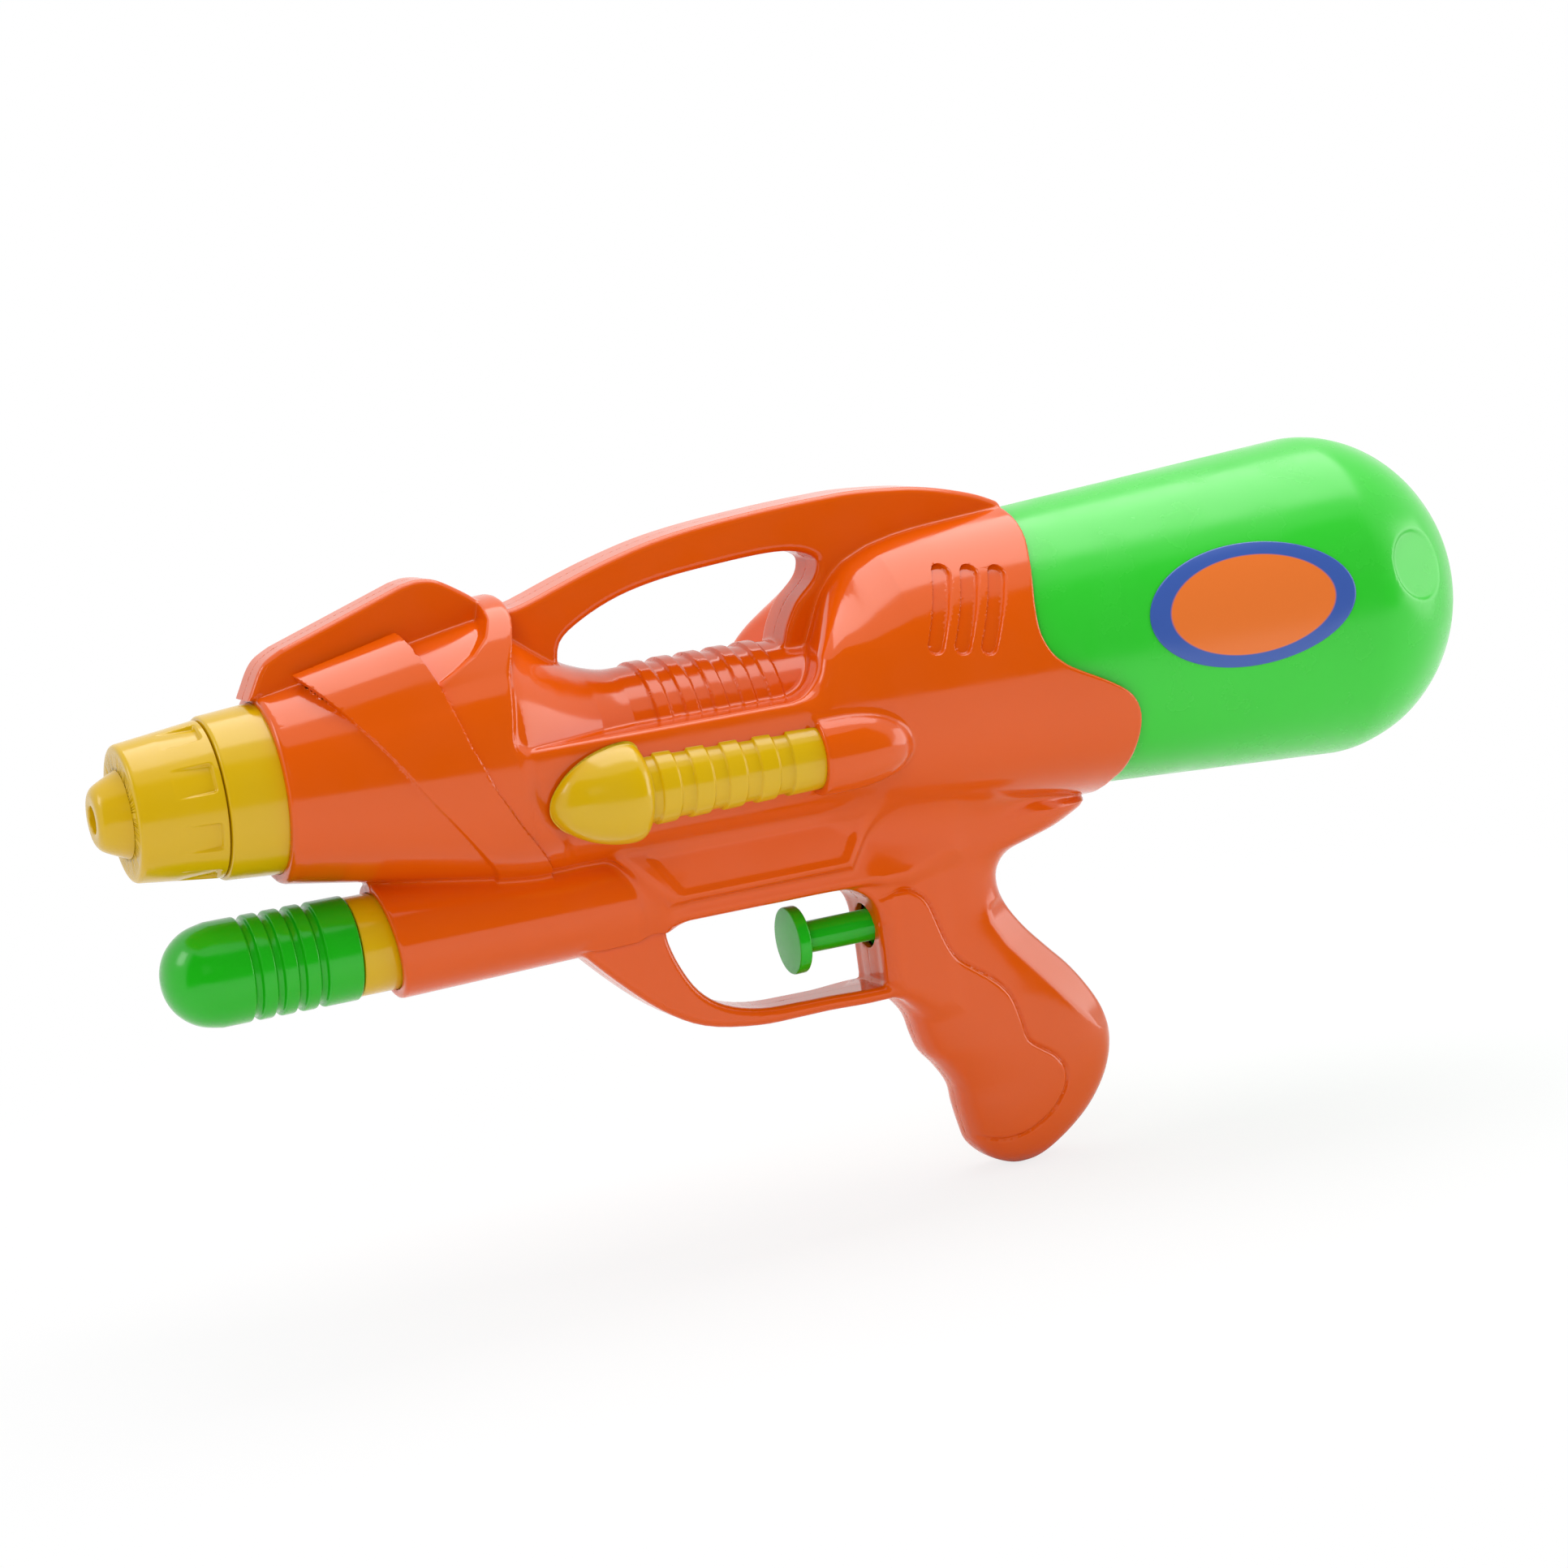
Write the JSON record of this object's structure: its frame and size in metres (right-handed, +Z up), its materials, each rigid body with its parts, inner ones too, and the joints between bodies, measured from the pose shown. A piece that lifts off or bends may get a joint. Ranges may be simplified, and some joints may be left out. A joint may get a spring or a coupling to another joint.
{
  "type": "toy water squirter",
  "caption": "Pump-action toy water squirter: moulded housing with carry handle, trigger guard and grip, sliding pump, twist nozzle and a screw-on rear tank.",
  "frame": {"origin": "centre of the jet hole's mouth on the nozzle's front face, on the barrel axis", "axes": "+X runs back along the barrel axis towards the tank, +Z up, the left side faces -Y"},
  "size_m": [0.3925, 0.09, 0.1923],
  "materials": {
    "housing_orange": "gloss",
    "trim_yellow": "gloss",
    "tank_green": "gloss",
    "lever_green": "gloss",
    "inner_white": "satin",
    "rubber_black": "matte",
    "hose_clear": "satin",
    "steel": "plated",
    "label_print": "gloss"
  },
  "bodies": {
    "housing": {"left_shell": "housing_orange", "right_shell": "housing_orange", "body_screws": "steel", "left_side_bolt": "trim_yellow", "right_side_bolt": "trim_yellow", "nozzle_collar": "trim_yellow", "nozzle_seal": "rubber_black", "outlet_tube": "inner_white", "delivery_hose": "hose_clear", "pump_end_cap": "trim_yellow", "pump_cylinder": "inner_white", "check_valve_disc": "rubber_black", "pump_outlet_cap": "inner_white", "air_hose": "hose_clear", "tank_socket": "inner_white", "dip_tube": "hose_clear", "valve_body": "inner_white", "feed_hose": "hose_clear", "trigger_spring": "steel"},
    "nozzle": {"nozzle_cap": "trim_yellow", "nozzle_tip": "trim_yellow"},
    "pump": {"pump_handle": "lever_green", "pump_rod": "inner_white", "pump_piston": "lever_green", "piston_seal": "rubber_black"},
    "tank_seal": {"tank_gasket": "rubber_black"},
    "tank": {"tank": "tank_green", "tank_label": "label_print"},
    "trigger": {"trigger": "lever_green", "valve_stem": "steel", "valve_seal": "rubber_black"}
  },
  "joints": [
    {"name": "nozzle_turn", "type": "hinge", "parent": "housing", "child": "nozzle", "pos_m": [0, 0, 0], "axis": [1, 0, 0], "range_deg": [0, 90]},
    {"name": "pump_slide", "type": "slide", "parent": "housing", "child": "pump", "axis": [-1, 0, 0], "range_m": [0, 0.058]},
    {"name": "trigger_slide", "type": "slide", "parent": "housing", "child": "trigger", "axis": [1, 0, 0], "range_m": [0, 0.009], "stiffness_N_per_m": 300, "springref_m": -0.006, "deforming": ["trigger_spring"]},
    {"name": "tank_advance", "type": "slide", "parent": "housing", "child": "tank_seal", "axis": [1, 0, 0], "range_m": [0, 0.01005]},
    {"name": "tank_turn", "type": "hinge", "parent": "tank_seal", "child": "tank", "pos_m": [0.25, 0, 0], "axis": [1, 0, 0], "range_deg": [0, 900]}
  ],
  "couplings": [
    {"joint": "tank_advance", "follows": "tank_turn", "m_per_rad": 0.00063662}
  ]
}
